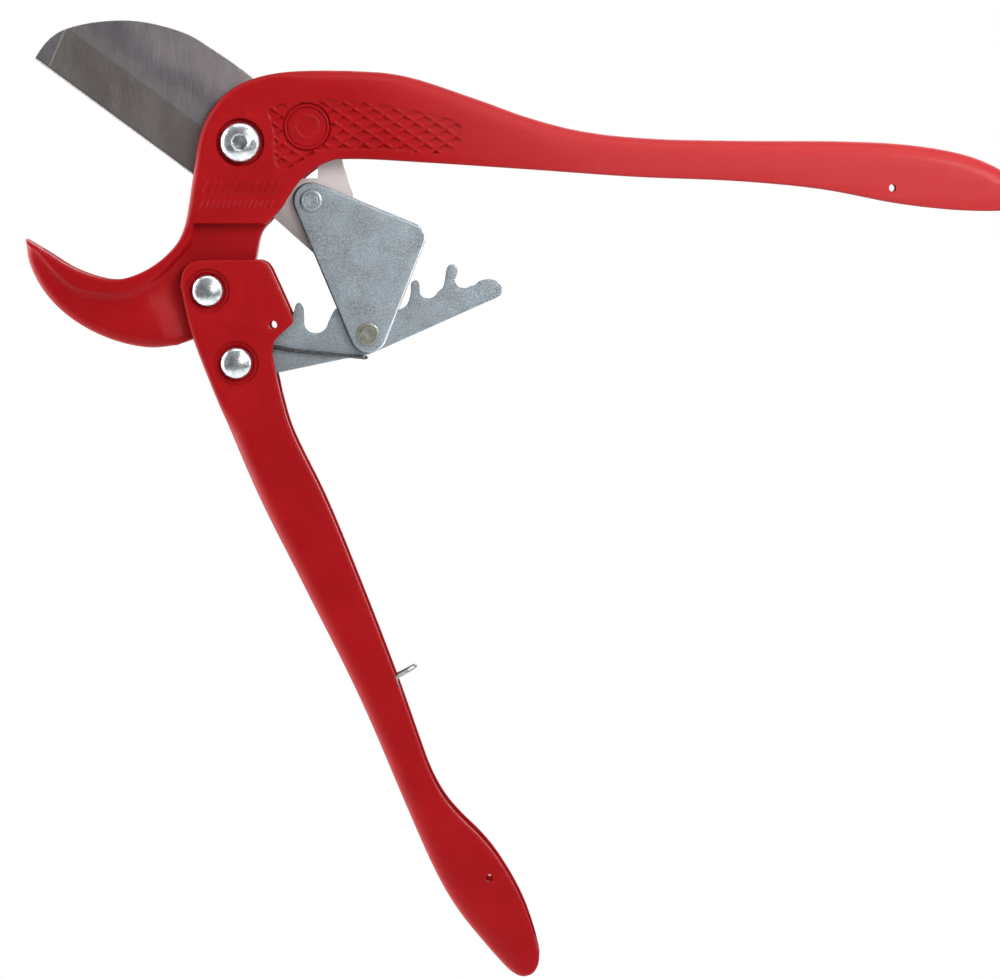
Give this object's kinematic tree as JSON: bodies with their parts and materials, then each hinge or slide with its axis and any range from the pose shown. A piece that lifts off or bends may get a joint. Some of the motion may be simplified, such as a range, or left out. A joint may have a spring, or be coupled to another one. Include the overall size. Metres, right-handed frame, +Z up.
{
  "type": "pvc pipe cutter",
  "caption": "Two-handled ratchet shear for plastic pipe: a curved hook, a pivoting blade, and a notched rack and link that step the blade closed.",
  "frame": {"origin": "middle of the hand-hold of the upper grip, where a hand holds the tool, in the middle plane", "axes": "+X from the blade along the upper handle towards its end, +Y from the front (bolt head side) to the back, +Z up, away from the lower handle"},
  "size_m": [0.4452, 0.0329, 0.4308],
  "materials": {
    "red_paint": "satin red enamel over cast metal",
    "zinc_plate": "bright zinc plating with a fine spangle",
    "ground_steel": "ground steel, fine grinding lines",
    "bright_steel": "bright plated steel",
    "spring_steel": "dark oiled wire",
    "bail_wire": "plated wire",
    "bronze": "plain bronze"
  },
  "bodies": {
    "frame": {"frame_casting": "red_paint", "pivot_bolt": "bright_steel", "pivot_nut": "bright_steel", "pivot_bush": "bronze", "blade_washer_front": "bright_steel", "blade_washer_rear": "bright_steel", "latch_peg": "bright_steel"},
    "blade": {"blade": "ground_steel", "link_rivet": "zinc_plate"},
    "link": {"link_yoke": "zinc_plate", "notch_pin": "zinc_plate"},
    "lower_handle": {"lower_handle": "red_paint", "handle_rivet": "bright_steel", "handle_washer_front": "bright_steel", "handle_washer_rear": "bright_steel", "rack_rivet": "bright_steel", "rack_spacer_front": "bright_steel", "rack_spacer_rear": "bright_steel"},
    "rack": {"rack": "zinc_plate", "rack_spring": "spring_steel"},
    "lock_bail": {"lock_bail": "bail_wire"}
  },
  "joints": [
    {"name": "handle_hinge", "type": "hinge", "parent": "frame", "child": "lower_handle", "pos_m": [-0.2848, 0, -0.0553], "axis": [0, -1, 0], "range_deg": [0, 62]},
    {"name": "blade_hinge", "type": "hinge", "parent": "frame", "child": "blade", "pos_m": [-0.27, 0, 0.011], "axis": [0, -1, 0], "range_deg": [0, 70]},
    {"name": "link_hinge", "type": "hinge", "parent": "blade", "child": "link", "pos_m": [-0.2387, 0, -0.0149], "axis": [0, -1, 0], "range_deg": [-61.7, 0]},
    {"name": "rack_hinge", "type": "hinge", "parent": "lower_handle", "child": "rack", "pos_m": [-0.272, 0, -0.0878], "axis": [0, -1, 0], "range_deg": [-38.8, 0]},
    {"name": "bail_hinge", "type": "hinge", "parent": "lower_handle", "child": "lock_bail", "pos_m": [-0.1788, 0, -0.3034], "axis": [0, 1, 0], "range_deg": [0, 80]}
  ],
  "couplings": [
    {"joint": "blade_hinge", "follows": "handle_hinge", "ratio": 1.129},
    {"joint": "link_hinge", "follows": "handle_hinge", "ratio": -0.995},
    {"joint": "rack_hinge", "follows": "handle_hinge", "ratio": -0.625}
  ]
}
